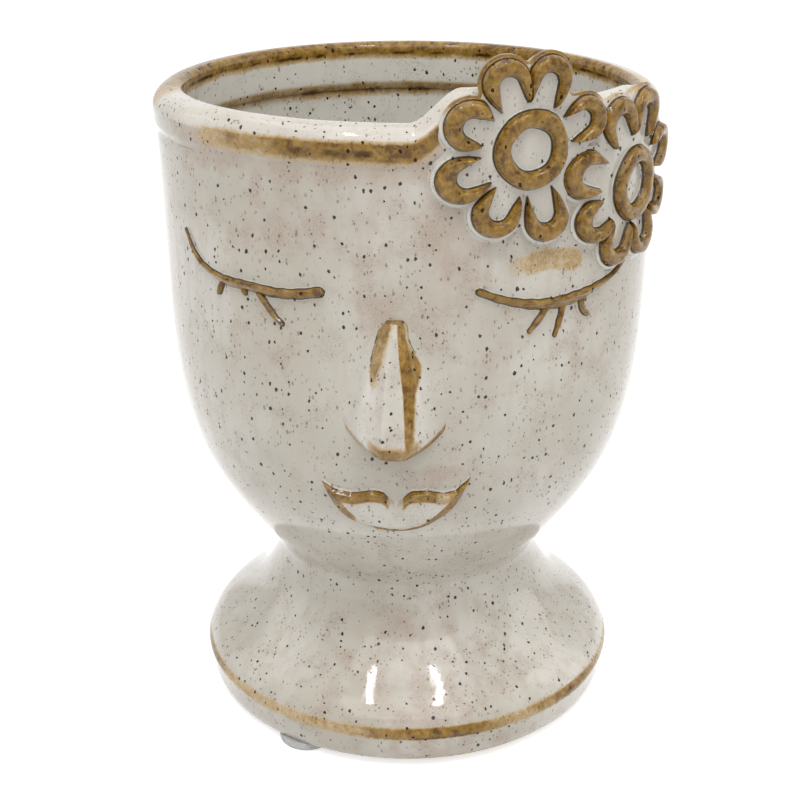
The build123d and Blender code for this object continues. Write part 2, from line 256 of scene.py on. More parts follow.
# Nose, seen square-on. Rows: share of the way down, half width of the footprint, reach, flanks' softness
NOSE_BOTTOM = NECK_Z + 0.383 * HEAD_HEIGHT + 0.7
NOSE_TOP = NOSE_BOTTOM + 28.2
NOSE_WING_RISE = 5.4
NOSE_ROWS = (
    (0.0, 1.7, 0.6, 1.2), (0.10, 3.7, 1.9, 1.8), (0.25, 6.4, 3.3, 2.1), (0.42, 8.9, 4.6, 2.1),
    (0.58, 10.1, 5.9, 2.0), (0.72, 10.7, 7.1, 1.7), (0.86, 10.8, 7.9, 1.35), (1.0, 10.2, 7.6, 1.1),
)
NOSE_RIDGE_HALF = 1.5
NOSE_FACET = 0.28
NOSE_SLOPE = 1.25
NOSE_TIP = 0.86
NOSE_TUCK = 0.15
NOSE_DEPTH = 1.0

# Paint on the nose, by share of the way down: edges of the left patch, the pale ridge and the right band
NOSE_PAINT = (
    (0.0, -2.0, 0.2, 0.3, 1.7), (0.05, -2.9, 0.0, 0.4, 2.6), (0.12, -3.5, -0.4, 0.5, 2.5),
    (0.22, -4.2, -1.2, 0.8, 3.6), (0.28, -4.6, -1.6, 0.9, 4.9), (0.38, -4.9, -2.6, 1.3, 5.7),
    (0.45, -4.9, -2.8, 1.5, 5.2), (0.52, -4.9, -2.8, 1.7, 4.4), (0.8, -4.9, -2.8, 2.1, 4.1),
    (1.0, -4.9, -2.8, 2.2, 4.2),
)

# Mouth, seen square-on at the front
MOUTH_LOWER = (
    (-15.2, 71.0), (-12.5, 65.4), (-9.0, 61.9), (-5.0, 60.1), (0.2, 59.4),
    (5.4, 60.4), (9.2, 62.9), (12.9, 67.0), (15.4, 72.6),
)
MOUTH_UPPER = (
    (-15.2, 71.0), (-12.4, 69.4), (-8.6, 69.1), (-4.6, 70.1), (-2.3, 69.7), (-1.2, 68.2), (0.2, 66.6),
    (1.6, 68.2), (3.0, 70.0), (6.6, 70.2), (10.0, 69.3), (12.6, 69.9), (15.4, 72.6),
)
MOUTH_MIDDLE = 0.1
MOUTH_HALF = 15.3
MOUTH_END = 15.4
MOUTH_SKIRT = 0.9
MOUTH_DEPTH = 0.9

# Pads and plug. Turned pieces close at the axis radius, and the tab's rows give share of its width and depth
AXIS_RADIUS = 0.05
PAD_ROUND = 0.75
PLUG_ROUND = 0.6
TAB_COLUMNS = 48
TAB_HALF = 3.5
TAB_HALF_THICK = 1.2
TAB_HOLE = 1.6
TAB_ROWS = ((0, 0.75), (0.04, 1), (0.5, 1), (0.94, 1), (0.985, 0.85), (1, 0.55))

# Columns and rows of the large pieces' grids
BOWL_COLUMNS = 372
BOWL_ROWS = 158
FOOT_COLUMNS = 260

# Amounts that every glazed point carries for the material
TINTS = ("brown", "line", "blush_and_shade", "pool_and_painted_light")


def smooth(low, high, x):
    """Smooth step from 0 at low to 1 at high"""
    t = np.clip((np.asarray(x, float) - low) / (high - low), 0, 1)
    return t * t * (3 - 2 * t)


def hill(x, middle, half):
    """Bell that is 1 at its middle and fades over about its half width"""
    return np.exp(-((x - middle) / half) ** 2)


def window(x, start, full, ebb, end):
    """1 from full to ebb, fading to 0 at start and at end"""
    return smooth(start, full, x) * (1 - smooth(ebb, end, x))


def arch(x, power=2):
    """Rounded fall from 1 at 0 to 0 at 1, a quarter circle for a power of 2"""
    return np.sqrt(np.clip(1 - x ** power, 0, 1))


def rounding(start, steps, first=0.0):
    """Pairs of sine and cosine along a quarter turn, without those before start"""
    return [(sin(a), cos(a)) for a in np.linspace(first, pi / 2, steps)[start:]]


def spline(xs, ys, x):
    """Smooth curve through points, read at x"""
    xs, ys = np.asarray(xs, float), np.asarray(ys, float)
    gap = np.diff(xs)
    slope = np.diff(ys) / gap
    system, wanted = np.eye(len(xs)), np.zeros(len(xs))
    for i in range(1, len(xs) - 1):
        system[i, i - 1:i + 2] = gap[i - 1], 2 * (gap[i - 1] + gap[i]), gap[i]
        wanted[i] = 6 * (slope[i] - slope[i - 1])
    bend = np.linalg.solve(system, wanted)
    k = np.clip(np.searchsorted(xs, x) - 1, 0, len(xs) - 2)
    t = x - xs[k]
    first = slope[k] - gap[k] * (2 * bend[k] + bend[k + 1]) / 6
    return ys[k] + t * first + t * t * bend[k] / 2 + t ** 3 * (bend[k + 1] - bend[k]) / (6 * gap[k])


def path(points, count):
    """Evenly spaced points on a smooth line through given ones"""
    points = np.array(points, float)
    along = np.concatenate([[0], np.cumsum(np.linalg.norm(np.diff(points, axis=0), axis=1))])
    fine = np.linspace(0, along[-1], count)
    return np.stack([spline(along, points[:, i], fine) for i in range(2)], -1)


def soften(values, times):
    """The values with each one averaged with its neighbours, several times"""
    for _ in range(times):
        padded = np.concatenate([values[:1], values, values[-1:]])
        values = (padded[:-2] + 2 * padded[1:-1] + padded[2:]) / 4
    return values


def wobble(p, size, seed):
    """Slow unevenness from -1 to 1 over points, with bumps about as large as size"""
    draw = np.random.default_rng(seed)
    total = np.zeros(p.shape[:-1])
    for _ in range(6):
        direction = draw.normal(size=3)
        direction *= 2 * pi / size / np.linalg.norm(direction) * draw.uniform(0.6, 1.2)
        total += np.sin(p @ direction + draw.uniform(0, 2 * pi))
    return total / 3


def flare_marks(neck):
    """Height and radius of the flare's marks, for a radius at the neck"""
    flare, spread = NECK_Z - SHOULDER_TOP, SHOULDER_RADIUS - NECK_RADIUS
    return [(SHOULDER_TOP + flare * up, neck + spread * wide) for up, wide in FLARE_SHARES]


def outline_table():
    """Half widths of the pedestal's flare and the head at the tabled heights"""
    marks = [(SHOULDER_TOP, SHOULDER_RADIUS), *flare_marks(NECK_RADIUS)]
    widening = RIM_HALF_WIDTH - NECK_RADIUS
    marks += [(NECK_Z + HEAD_HEIGHT * up, NECK_RADIUS + widening * wide) for up, wide in HEAD_SHARES]
    table = spline(*zip(*marks), np.minimum(HEIGHTS, RIM_Z))
    return np.concatenate([table[:4], soften(table, 14)[4:]])


HALVES = outline_table()
FLATNESS = smooth(FLAT_FROM_SHARE, FLAT_TO_SHARE, (HEIGHTS - NECK_Z) / HEAD_HEIGHT)
FACES = HALVES * (1 - FACE_FLAT_SHARE * FLATNESS)
SKULLS = HALVES * (1 - SKULL_FLAT_SHARE * FLATNESS)
HALF_SLOPES, FACE_SLOPES, SKULL_SLOPES = [np.gradient(t, HEIGHTS) for t in (HALVES, FACES, SKULLS)]
GROOVE_LINE = path(GROOVE, 30)


def read(table, z):
    """A tabled size at heights"""
    return np.interp(z, HEIGHTS, table)


def head_point(turn, z, grow=0.0):
    """Points of the bare head at turns from the face and heights, pushed out by grow"""
    depth = np.where(np.cos(turn) > 0, read(FACES, z), read(SKULLS, z)) + grow
    return np.stack([(read(HALVES, z) + grow) * np.sin(turn), -depth * np.cos(turn), z + 0 * turn], -1)


def on_head(angle, u, z):
    """Points of the bare head that are seen at u and z when it is viewed square-on at an angle"""
    c, s = cos(radians(angle)), sin(radians(angle))
    half = read(HALVES, z)

    def reach(depth):
        first = s * s / half ** 2 + c * c / depth ** 2
        second = u * c * s * (1 / half ** 2 - 1 / depth ** 2)
        third = u * u * (c * c / half ** 2 + s * s / depth ** 2) - 1
        return (-second + np.sqrt(np.maximum(second ** 2 - first * third, 0))) / first

    t = reach(read(FACES, z))
    t = np.where(u * s - t * c < 0, t, reach(read(SKULLS, z)))
    return np.stack([u * c + t * s, u * s - t * c, z + 0 * u], -1)


def outward(p):
    """Unit normals of the bare head at points on it"""
    x, y, z = p[..., 0], p[..., 1], p[..., 2]
    half, front = read(HALVES, z), y < 0
    depth = np.where(front, read(FACES, z), read(SKULLS, z))
    slope = np.where(front, read(FACE_SLOPES, z), read(SKULL_SLOPES, z))
    up = -(x * x * read(HALF_SLOPES, z) / half ** 3 + y * y * slope / depth ** 3)
    normal = np.stack([x / half ** 2, y / depth ** 2, up], -1)
    return normal / np.linalg.norm(normal, axis=-1, keepdims=True)


def azimuth(p):
    """Degrees round the axis from the face, positive to the viewer's right"""
    return np.degrees(np.arctan2(p[..., 0], -p[..., 1]))


def square_on(p, angle):
    """Sideways place of points when the head is viewed square-on at an angle"""
    return p[..., 0] * cos(radians(angle)) + p[..., 1] * sin(radians(angle))


def distance_to(points, line):
    """Distance from 2-D points to a chain of straight runs"""
    best = np.full(points.shape[:-1], 1e9)
    for a, b in zip(line[:-1], line[1:]):
        run = b - a
        t = np.clip(((points - a) @ run) / max(run @ run, 1e-12), 0, 1)
        best = np.minimum(best, np.linalg.norm(points - a - t[..., None] * run, axis=-1))
    return best


def line_height(points, u):
    """Height of an eye line at sideways places"""
    return np.interp(u, *zip(*sorted(points)))


def groove(p, half):
    """Where the groove between nose and mouth runs, as an amount"""
    flat = np.stack([p[..., 0], p[..., 2]], -1)
    return (p[..., 1] < 0) * hill(distance_to(flat, GROOVE_LINE), 0, half)


def lid(p, angle, line, middle, rise, reach, high):
    """Domed closed eyelid that ends on its eye line"""
    u = square_on(p, angle)
    above = p[..., 2] - line_height(line, u)
    facing = np.cos(np.radians(azimuth(p) - angle)) > 0
    dome = np.exp(-((u - middle) / reach) ** 4) * hill(above, LID_PEAK * high, LID_SPREAD * high)
    return facing * rise * dome * smooth(*LID_EDGE, above)


def relief(p):
    """How far the real head's modelled surface stands off the bare one"""
    z = p[..., 2]
    total = UNEVEN_RISE * wobble(p, UNEVEN_SIZE, 3) * smooth(NECK_Z, NECK_Z + UNEVEN_FADE, z)
    total += lid(p, -EYE_ANGLE, LEFT_LINE, *LEFT_LID)
    total += lid(p, EYE_ANGLE, RIGHT_LINE, *RIGHT_LID)
    total -= GROOVE_DEPTH * groove(p, GROOVE_HALF)
    around = window(azimuth(p), *BAND_SPAN)
    total += BAND_RISE * smooth(*BAND_EDGE, z) * around
    total -= CREASE_DEPTH * hill(z, CREASE_Z, CREASE_HALF) * around
    return total


def skin(p, height):
    """Bare head points moved out to the modelled surface and by a height above it"""
    return p + outward(p) * (relief(p) + height)[..., None]


def grid_faces(rows, columns, wrap_rows, wrap_columns):
    """Quads of a grid of points"""
    r, c = np.meshgrid(
        np.arange(rows if wrap_rows else rows - 1),
        np.arange(columns if wrap_columns else columns - 1),
        indexing="ij",
    )
    r2, c2 = (r + 1) % rows, (c + 1) % columns
    quads = np.stack([r * columns + c, r * columns + c2, r2 * columns + c2, r2 * columns + c], -1)
    return quads.reshape(-1, 4).tolist()


def capped_faces(rows, columns):
    """Quads between rings in a row, with the first and the last ring closed"""
    last = (rows - 1) * columns
    return grid_faces(rows, columns, False, True) + [list(range(columns)), list(range(last, last + columns))]


def finish_mesh(mesh, *sources):
    """Gives a mesh outward faces and smooth shading, after it takes in the meshes given"""
    work = bmesh.new()
    for source in (mesh, *sources):
        work.from_mesh(source)
    bmesh.ops.recalc_face_normals(work, faces=work.faces)
    work.to_mesh(mesh)
    work.free()
    mesh.shade_smooth()
    mesh.set_sharp_from_angle(angle=SHARP_ANGLE)


def make_piece(name, points, faces, slot, tints=None, body="planter"):
    """Mesh object of the piece, in metres, that rides on its body and stands for its node"""
    points = np.asarray(points, float).reshape(-1, 3)
    mesh = bpy.data.meshes.new(name)
    mesh.from_pydata((points * MM).tolist(), [], faces)
    mesh.validate()
    finish_mesh(mesh)
    for tint in TINTS:
        values = np.zeros(len(points), np.float32)
        if tints and tint in tints:
            values[:] = np.asarray(tints[tint], np.float32).ravel()
        mesh.attributes.new(tint, "FLOAT", "POINT").data.foreach_set("value", values)
    mesh.materials.append(MATERIALS[slot])
    piece = bpy.data.objects.new(name + ("_glazed" if slot.endswith("glaze") else "_shown"), mesh)
    bpy.context.scene.collection.objects.link(piece)
    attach(piece, body)
    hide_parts(name)
    return piece


def make_tube(name, sections, tints, closed=False):
    """Piece from closed cross-sections in a row, with its ends filled unless it closes on itself"""
    count, around = sections.shape[:2]
    faces = grid_faces(count, around, closed, True)
    points = sections.reshape(-1, 3)
    tints = {tint: np.asarray(values, float).ravel() for tint, values in tints.items()}
    if not closed:
        for first in (0, (count - 1) * around):
            middle = len(points)
            points = np.concatenate([points, points[first:first + around].mean(0, keepdims=True)])
            tints = {t: np.append(v, v[first:first + around].mean()) for t, v in tints.items()}
            faces += [[middle, first + j, first + (j + 1) % around] for j in range(around)]
    make_piece(name, points, faces, "brown_glaze", tints)


def bead(name, angle, middle, across, half, rise, lift, dome=0.35, shade=0.0, wrap=0.0, closed=False):
    """Raised rounded strip on the head along a line of 2-D places"""
    half = np.asarray(half, float)[:, None]
    share, extra = BEAD_SECTION.T
    side = half * share + extra
    past = np.abs(side) - half
    height = 0.5 * (1 + np.cos(pi * np.clip((past + EDGE_IN) / (EDGE_IN + EDGE_OUT), 0, 1)))
    crown = arch(side / (half + CROWN_SPARE))
    height = rise * height * (1 - dome + dome * crown) - EDGE_TUCK * smooth(EDGE_OUT, EDGE_END, past)
    under = np.stack([side[:, -1], side[:, 0]], -1)
    side = np.concatenate([side, under], 1)
    height = np.concatenate([height, np.full(under.shape, -BEAD_DEPTH)], 1)
    past = np.concatenate([past, np.ones(under.shape)], 1)
    place = middle[:, None, :] + across[:, None, :] * side[..., None]
    sections = skin(on_head(angle, place[..., 0], place[..., 1]), height + lift)
    over_edge = wrap * (side > 0) * smooth(*ABOVE_RIM, sections[..., 2])
    tints = {
        "brown": np.maximum(1 - smooth(*BEAD_BROWN_EDGE, past), over_edge),
        "line": np.maximum(hill(past, *BEAD_LINE), shade * (past < 0)),
        "pool_and_painted_light": BEAD_POOL * smooth(*BEAD_POOL_EDGE, past) * (1 - over_edge),
    }
    make_tube(name, sections, tints, closed)


def stroke(name, angle, marks, half, tip, end, rise, count):
    """Raised line, full width in its middle, that narrows to shares of it at its two ends"""
    middle = path(marks, count)
    along = np.linspace(0, 1, count)
    run = np.gradient(middle, axis=0)
    run /= np.linalg.norm(run, axis=1, keepdims=True)
    across = np.stack([-run[:, 1], run[:, 0]], -1)
    length = np.linalg.norm(np.diff(middle, axis=0), axis=1).sum()
    width = half * (tip + (1 - tip) * smooth(*STROKE_SWELL, along))
    width = width * (end + (1 - end) * (1 - smooth(*STROKE_EBB, along)))
    for share, way in ((tip, along), (end, 1 - along)):
        width = width * arch(1 - np.clip(way * length / (half * share + STROKE_SPARE), 0, 1))
    uneven = 1 + STROKE_UNEVEN * np.sin(along * length * STROKE_WAVES + len(name))
    width = np.maximum(width * uneven, THINNEST)
    bead(name, angle, middle, across, width, rise, 0.0, shade=STROKE_SHADE)


def petal_contours(reach, wide):
    """Outer and inner edge of one petal loop, from the end of one leg round to the end of the other"""
    tip = reach - wide
    slot = reach - PETAL_TIP_BAND - PETAL_SLOT_RADIUS
    leg = np.linspace(0, 1, 22)[:, None]
    bow = np.sin(leg * pi) * np.array([[0.0, PETAL_BOW]])
    turn = np.linspace(-pi / 2, pi / 2, 30)[1:-1]
    root = np.array([PETAL_ROOT, -PETAL_ROOT_HALF])
    contours = []
    for far, half, swell in ((tip, wide, bow), (slot, PETAL_SLOT_RADIUS, 0)):
        side = root + leg * (np.array([far, -half]) - root) - swell
        arc = np.stack([far + half * np.cos(turn), half * np.sin(turn)], -1)
        contours.append(np.concatenate([side, arc, side[::-1] * np.array([1, -1])]))
    return contours


def rotate(points, turn):
    """2-D points turned about the origin by degrees"""
    c, s = cos(radians(turn)), sin(radians(turn))
    return points @ np.array([[c, s], [-s, c]])


def make_petal(name, daisy, petal, lift, seed):
    """One horseshoe loop of a daisy, a little different from its neighbours"""
    angle, height = daisy
    turn, reach, wide = petal
    outer, inner = petal_contours(reach, wide)
    gap = outer - inner
    length = np.linalg.norm(gap, axis=1, keepdims=True)
    across = np.where(length > PETAL_LEAST_GAP, gap / np.maximum(length, 1e-6), np.nan)
    good = np.flatnonzero(~np.isnan(across[:, 0]))
    across[:good[0]] = across[good[0]]
    across[good[-1]:] = across[good[-1]]
    across = soften(across, 3)
    across /= np.linalg.norm(across, axis=1, keepdims=True)
    middle = rotate(soften((outer + inner) / 2, 3), turn) + np.array([0, height])
    phase = np.random.default_rng(seed).uniform(0, 6)
    uneven = 1 + PETAL_UNEVEN * np.sin(np.linspace(0, 9, len(gap)) + phase)
    half = np.maximum(soften(length[:, 0] / 2, 2) * uneven, PETAL_THINNEST)
    half[0] = half[-1] = THINNEST
    across = rotate(across, turn)
    bead(name, angle, middle, across, half, PETAL_RISE, lift, PETAL_DOME, wrap=PETAL_WRAP)


def make_ring(name, daisy, ring, lift, seed):
    """Thick uneven ring near a daisy's middle"""
    angle, height = daisy
    aside, up, narrow = ring
    turn = np.linspace(0, 2 * pi, 97)[:-1]
    across = np.stack([np.cos(turn), np.sin(turn)], -1)
    phase = np.random.default_rng(seed).uniform(0, 6, 3)
    outer = RING_RADIUS * (1 + 0.012 * np.sin(3 * turn + phase[0]) + 0.01 * np.sin(5 * turn + phase[1]))
    inner = RING_HOLE * (1 + 0.02 * np.sin(2 * turn + phase[2]) + 0.02 * np.sin(5 * turn + phase[0]))
    middle = across * ((outer + inner) / 2)[:, None] * np.array([narrow, 1])
    middle = middle + np.array([aside, height + up])
    half = (outer - inner) / 2 * (1 - (1 - narrow) * across[:, 0] ** 2)
    bead(name, angle, middle, across, half, RING_RISE, lift, RING_DOME, closed=True)


def plate_border(petals, turn):
    """Distance from a daisy's middle to its plate's scalloped edge"""
    border = np.full(turn.shape, PLATE_CORE)
    for petal, reach, wide in petals:
        tip, lobe = reach - wide, wide + PLATE_BORDER
        away = turn - radians(petal)
        inside = lobe ** 2 - (tip * np.sin(away)) ** 2
        scallop = tip * np.cos(away) + np.sqrt(np.maximum(inside, 0))
        border = np.where((inside > 0) & (np.cos(away) > 0), np.maximum(border, scallop), border)
    wrapped = np.concatenate([border[-20:], border, border[:20]])
    return soften(wrapped, 6)[20:-20]


def make_plate(name, daisy, petals, lift):
    """Scalloped plate behind a daisy, with a rounded edge that falls away to the back above the rim"""
    angle, height = daisy
    turn = np.linspace(0, 2 * pi, 241)[:-1]
    border = plate_border(petals, turn)
    z_edge = height + border * np.sin(turn)
    deep = 4.3 + 1.4 * smooth(RIM_Z - 10, RIM_Z - 1, z_edge)
    taper = 0.8 + 3.0 * smooth(RIM_Z - 5, RIM_Z + 2, z_edge)
    free = smooth(RIM_Z - 4, RIM_Z + 1, z_edge)
    rise = PLATE_RISE + lift
    rings = [(border * share, rise + 0 * border) for share in (0.02, 0.2, 0.4, 0.6, 0.75, 0.85)]
    flat_rings = len(rings)
    for step in np.linspace(0, 1, 11):
        quarter = step * pi / 2
        rolled = border - PLATE_ROUND * (1 - sin(quarter)), rise - PLATE_ROUND * (1 - cos(quarter))
        skirt_far = border - PLATE_ROUND + (PLATE_ROUND + SKIRT) * step
        skirt = skirt_far, rise * (0.5 + 0.5 * cos(step * pi)) - 0.04 * step
        rings.append(tuple(r * free + k * (1 - free) for r, k in zip(rolled, skirt)))
    edge, low = rings[-1]
    for step in np.linspace(0, 1, 13)[1:]:
        rings.append((edge - taper * step ** 1.5, low * (1 - step) - deep * step))
    rings += [((edge - taper) * share, -deep) for share in (0.9, 0.7, 0.45, 0.2, 0.02)]
    far, up = np.array(rings).transpose(1, 0, 2)
    points = skin(on_head(angle, far * np.cos(turn), height + far * np.sin(turn)), up)
    order = np.arange(len(rings))[:, None] - flat_rings
    tints = {
        "brown": 0.9 * (order >= 2) * (1 - smooth(15, 22, order)) * smooth(*ABOVE_RIM, points[..., 2]),
        "pool_and_painted_light": np.full(points.shape[:2], 0.35),
        "blush_and_shade": 0.5 * smooth(-2.2, -0.2, far - border),
    }
    make_piece(name, points, capped_faces(len(rings), len(turn)), "speckled_glaze", tints)


def make_daisy(name, daisy, petals, ring, lift, seed):
    """Plate, ring and petals of one daisy"""
    make_plate(name + "_plate", daisy, petals, lift)
    make_ring(name + "_ring", daisy, ring, PLATE_RISE + lift, seed)
    for number, petal in enumerate(petals, 1):
        make_petal(name + "_petal_" + str(number), daisy, petal, PLATE_RISE + lift, seed + number)


def rim_rise(turn):
    """How far the rim sweeps up behind the daisies at degrees round the axis"""
    return SWEEP_RISE * window(turn, *SWEEP_SPAN) * (1 - SWEEP_SAG * smooth(*SWEEP_SAG_SPAN, turn))


def bowl_turns():
    """Turns of the bowl's columns, closer together on the face than behind"""
    s = np.linspace(-1, 1, BOWL_COLUMNS + 1)[:-1]
    return pi * s * (0.5 + 0.5 * np.abs(s) ** 4)


def front_band(turn, z):
    """Where the glaze broke to brown along the rim's front, as an amount"""
    along = window(turn, *PAINT_SPAN) * (PAINT_FAINT + (1 - PAINT_FAINT) * smooth(*PAINT_FULL_SPAN, turn))
    above = z - (RIM_Z - PAINT_DROP + rim_rise(turn))
    return along * window(above, *PAINT_EDGES)


def bowl_rows():
    """Points of the bowl's rows, up the outside, over the rim and down the inside, and what each row is"""
    turn = bowl_turns()
    rows, kinds = [], []

    def add(kind, grow, z, weight=0.0, radius=None, mix=1.0):
        row_z = np.full(turn.shape, z)
        bare = head_point(turn, row_z, grow)
        if radius is not None:
            circle = np.stack([radius * np.sin(turn), -radius * np.cos(turn), row_z], -1)
            bare = bare * (1 - mix) + circle * mix
        lifted = rim_rise(azimuth(bare)) * smooth(RIM_Z - SWEEP_DEPTH, RIM_Z, z)
        if weight:
            on_wall = head_point(turn, np.minimum(row_z, RIM_Z))
            bare = bare + outward(on_wall) * (weight * relief(on_wall))[..., None]
        rows.append(bare + np.stack([0 * lifted, 0 * lifted, lifted], -1))
        kinds.append(np.full(turn.shape, kind))

    lip_start = RIM_Z - LIP_HIGH
    inner = -WALL - COLLAR
    collar_bottom = RIM_Z - COLLAR_DEPTH
    for z in np.linspace(NECK_Z, lip_start, BOWL_ROWS):
        add(OUTSIDE, 0.0, z, 1.0)
    for s, c in rounding(1, 10):
        add(LIP, LIP_WIDE * (c - 1), lip_start + LIP_HIGH * s, c)
    add(TOP, (inner + LIP_INNER - LIP_WIDE) / 2, RIM_Z + TOP_CROWN)
    for s, c in rounding(0, 7):
        add(ROLL, inner + LIP_INNER * (1 - s), RIM_Z - LIP_INNER * (1 - c))
    for z in np.linspace(RIM_Z - LIP_INNER, collar_bottom + LEDGE_HIGH, 9)[1:]:
        add(COLLAR_FACE, inner, z)
    for s, c in rounding(1, 5):
        add(LEDGE, inner + COLLAR * (1 - c), collar_bottom + LEDGE_HIGH * (1 - s))
    for z in np.linspace(collar_bottom, FLOOR_TOP + FLOOR_CORNER, 34)[1:]:
        add(INSIDE, -WALL, z)
    for s, c in rounding(1, 7):
        add(INSIDE, -WALL - FLOOR_CORNER * (1 - c), FLOOR_TOP + FLOOR_CORNER * (1 - s))
    for mix in np.linspace(0, 1, 9)[1:]:
        add(FLOOR, -WALL - FLOOR_CORNER, FLOOR_TOP, 0, DRAIN_RADIUS + DRAIN_ROUND, mix)
    add(FLOOR, 0, FLOOR_TOP - DRAIN_ROUND, 0, DRAIN_RADIUS)
    add(UNDER, 0, (FLOOR_TOP + NECK_Z) / 2, 0, DRAIN_RADIUS)
    for radius in np.linspace(DRAIN_RADIUS, NECK_RADIUS - 0.3, 6):
        add(UNDER, 0, NECK_Z, 0, radius)
    return np.array(rows), np.array(kinds)


def bowl_tints(points, kinds):
    """Where the bowl's glaze is brown, dark, warm or pooled, as amounts, with painted shade in the groove
    over the mouth and painted light on the inner wall
    """
    around, z = azimuth(points), points[..., 2]
    down = RIM_Z - z
    outside, lip, top, roll, collar, ledge, inside = [kinds == k for k in range(INSIDE + 1)]
    shell = outside | lip
    behind = smooth(*BACK_SPAN, np.abs(around))
    patches = np.clip(0.6 + 0.4 * wobble(points, 6.0, 31), 0, 1)
    shown = np.maximum(1 - smooth(*LEDGE_LEFT, around), smooth(*LEDGE_RIGHT, around))
    shown = shown * smooth(*LEDGE_BACK, np.abs(around))
    pale_right = 1 - 0.8 * hill(around, *PALE_RIM)
    smear = distance_to(np.stack([square_on(points, EYE_ANGLE), z], -1), np.array(SMEAR))
    facing = outside & (np.cos(np.radians(around - EYE_ANGLE)) > 0.3)
    smear_fade = 0.6 + 0.4 * smooth(*SMEAR_FADE, square_on(points, EYE_ANGLE))
    brown = np.maximum.reduce([
        shell * front_band(around, z),
        lip * behind * (1 - smooth(0.02, 0.3, down)) * 0.85 * pale_right,
        top * behind * pale_right,
        roll * behind,
        collar * behind * (1 - smooth(2.4, 4.8, down)) * 0.95,
        shell * window(around, *CORNER_SPAN) * (1 - smooth(2, 7, down)) * 0.75,
        lip * hill(around, *RIGHT_END) * 0.4,
        ledge * behind * 0.7,
        (ledge | inside) * hill(z, RIM_Z - COLLAR_DEPTH, 1.6) * behind * (0.4 + 0.6 * shown) * 0.85,
        facing * SMEAR_STRENGTH * (1 - smooth(*SMEAR_EDGE, smear)) * smear_fade,
    ])
    line = np.maximum.reduce([
        ledge * (0.1 + 0.42 * shown * patches) * behind * (down > COLLAR_DEPTH - 1.4),
        collar * behind * hill(down, 2.3, 0.8) * 0.8 * patches,
        shell * window(around, *CORE_SPAN) * hill(down, 5.0, 1.2) * 0.72 * patches,
        outside * hill(z, CREASE_Z, 0.5) * window(around, *CREASE_SPAN) * 0.45,
        # Painted shade: the groove between nose and mouth is darkened as if shade fell in it
        outside * groove(points, 0.5) * np.clip(0.3 + 0.35 * wobble(points, 5.0, 8), 0, 1),
    ])
    blush_and_shade = shell * window(around, *WARM_SPAN) * (1 - smooth(8, 15, down))
    for side, height, wide, tall, much in BLUSHES:
        blush_and_shade = np.maximum(blush_and_shade, outside * much * hill(around, side, wide) * hill(z, height, tall))
    chin = outside * hill(around, 0, 40) * hill(z, 57, 8)
    # Painted light: the collar and the whole inner wall get the palest cream in full, which lifts the shaded
    # inside of the bowl
    pool_and_painted_light = np.maximum.reduce([0.6 * (lip | top) * (1 - behind), collar | inside, 0.5 * chin])
    return {"brown": brown, "line": line, "blush_and_shade": blush_and_shade, "pool_and_painted_light": pool_and_painted_light}


def make_bowl():
    """Hollow head: outer wall, rolled rim, collar, inner wall, floor and drain hole in one skin"""
    points, kinds = bowl_rows()
    faces = grid_faces(len(points), BOWL_COLUMNS, True, True)
    make_piece("head_bowl", points, faces, "speckled_glaze", bowl_tints(points, kinds))


def foot_rows():
    """Radius, height, brown and line of the pedestal's rows, down its outside and up its hollow"""
    top, low, edge = SHOULDER_TOP, BASE_Z, SHOULDER_RADIUS
    climb = np.concatenate([np.linspace(NECK_Z, top + 3, 46), np.linspace(top + 2.6, top + 0.2, 9)])
    painted = 1 - smooth(1.1, 2.2, climb - top)
    rows = [(read(HALVES, z), z, paint, 0) for z, paint in zip(climb, painted)]
    rows += [(edge - far, top + up, brown, line) for far, up, brown, line in SHOULDER_ROWS]
    last, bottom = rows[-1][:2]
    rows += [(last - FOOT_BAND_LEAN * (bottom - z), z, 0, 0) for z in FOOT_BAND_HEIGHTS]
    rows += [(FOOT_RADIUS - far, low + up, brown, line) for far, up, brown, line in FOOT_ROWS]
    hollow = FOOT_RADIUS - FOOT_RING_WIDTH
    rows += [(radius, low, 0.5, 0) for radius in np.linspace(FOOT_RADIUS - 2, hollow + 0.8, 6)]
    rows += [(hollow, low + 0.8, 0.3, 0)]
    marks = [(low, hollow), *flare_marks(NECK_RADIUS - FLARE_WALL), (NECK_Z, NECK_RADIUS - WALL)]
    climb = np.linspace(low + 1.6, NECK_Z, 26)
    rows += [(radius, z, 0, 0) for radius, z in zip(spline(*zip(*marks), climb), climb)]
    return rows + [(NECK_RADIUS - WALL / 2, NECK_Z, 0, 0)]


def make_pedestal():
    """Hollow flared foot: neck, flare, shoulder edge, foot band, foot ring and inner hollow in one skin"""
    turn = np.linspace(-pi, pi, FOOT_COLUMNS + 1)[:-1]
    rows = foot_rows()
    radius, z, brown, line = [np.array(column, float)[:, None] for column in zip(*rows)]
    points = np.stack([radius * np.sin(turn), -radius * np.cos(turn), z + 0 * turn], -1)
    even = smooth(NECK_Z - 1, NECK_Z - 8, z) * smooth(BASE_Z, BASE_Z + 2, z)
    points[..., :2] *= 1 + 0.0028 * (wobble(points, 46.0, 8) * even)[..., None]
    front_right = 0.5 + 0.5 * np.cos(turn - radians(35))
    patchy = (0.82 + 0.3 * wobble(points, 30.0, 21)) * np.where(z < BASE_Z + 1.5, front_right, 1.0)
    warm = 0.9 * hill(turn, radians(4), 0.4) * hill(z, 27, 5)
    # Painted shade: the front of the lower flare and foot band is tinted darker and warmer
    painted_shade = 0.55 * hill(turn, radians(8), 0.7) * (1 - smooth(20, 30, z)) * (z > BASE_Z + 1)
    tints = {"brown": brown * patchy, "line": line * patchy, "blush_and_shade": np.maximum(warm, painted_shade)}
    faces = grid_faces(len(rows), FOOT_COLUMNS, True, True)
    make_piece("pedestal", points, faces, "speckled_glaze", tints)


